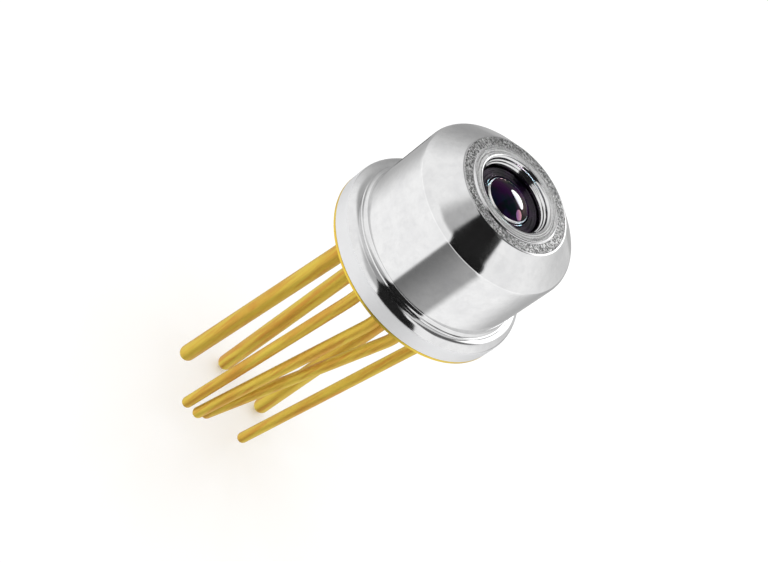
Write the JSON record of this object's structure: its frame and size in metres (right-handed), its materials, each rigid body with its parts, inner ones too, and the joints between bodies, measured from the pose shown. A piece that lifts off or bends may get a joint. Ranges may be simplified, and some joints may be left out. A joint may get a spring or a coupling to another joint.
{
  "type": "photodiode",
  "caption": "Photodiode in a round metal can with a flange, a coned top, a coated lens in a recess and splayed gold leads.",
  "frame": {"origin": "centre of the header's underside", "axes": "+Z along the optical axis towards the lens, leads along -Z, leads leaning towards -X"},
  "size_m": [0.0056, 0.0056, 0.0131],
  "materials": {
    "turned_steel": "turned bright steel, rough on the top ring",
    "gold_plate": "gold plated",
    "gold_lead": "gold plated, slightly streaked",
    "gold_wire": "fine gold wire",
    "coated_glass": "polished, with a purple and green coating",
    "dark_glass": "dark glossy sealing glass",
    "bead_glass": "dark green sealing glass",
    "white_ceramic": "matt",
    "pale_ceramic": "matt",
    "pellet_alloy": "dull grey",
    "semiconductor": "polished",
    "dark_ceramic": "matt"
  },
  "bodies": {
    "root": {"header": "gold_plate", "cap": "turned_steel", "lens": "coated_glass", "lens_seal": "dark_glass", "seal_1": "bead_glass", "seal_3": "bead_glass", "seal_4": "bead_glass", "seal_5": "bead_glass", "seal_6": "bead_glass", "seal_7": "bead_glass", "lead_1": "gold_lead", "lead_2": "gold_lead", "lead_3": "gold_lead", "lead_4": "gold_lead", "lead_5": "gold_lead", "lead_6": "gold_lead", "lead_7": "gold_lead", "cooler_hot_plate": "white_ceramic", "cooler_pellets": "pellet_alloy", "cooler_cold_plate": "white_ceramic", "submount": "pale_ceramic", "chip": "semiconductor", "thermistor": "dark_ceramic", "bond_wires": "gold_wire"}
  },
  "joints": []
}
